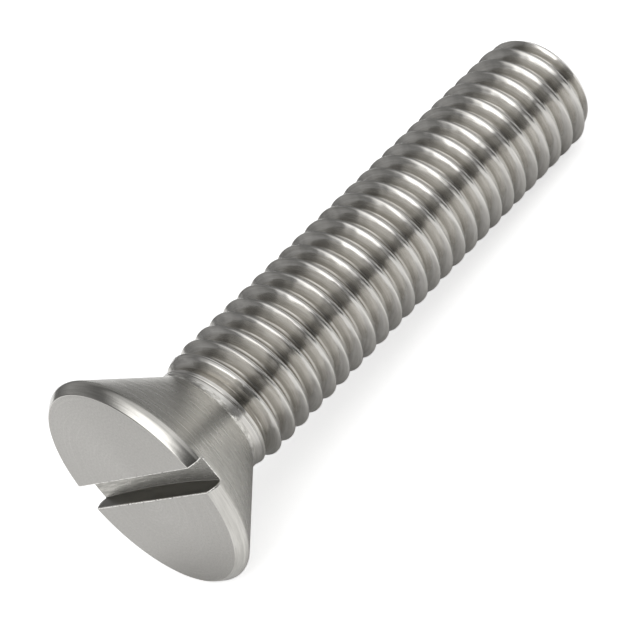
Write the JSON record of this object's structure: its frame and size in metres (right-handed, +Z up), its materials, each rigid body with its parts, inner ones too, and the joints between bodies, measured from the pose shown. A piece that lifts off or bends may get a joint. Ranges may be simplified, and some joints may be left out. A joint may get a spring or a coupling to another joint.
{
  "type": "slotted countersunk machine screw",
  "caption": "Machine screw with a flat countersunk head, a straight slot for a flat driver and a coarse thread along the whole shank, lying on its side.",
  "frame": {"origin": "middle of the footprint, at the level of the surface that the screw lies on", "axes": "+Z up; +X from the head to the tip along the screw seen from above, with the axis dipping about 5 degrees to the tip; Y across"},
  "size_m": [0.0392, 0.0144, 0.0144],
  "materials": {
    "stainless_steel": "satin turned stainless steel"
  },
  "bodies": {
    "root": {"slotted_countersunk_screw": "stainless_steel"}
  },
  "joints": []
}
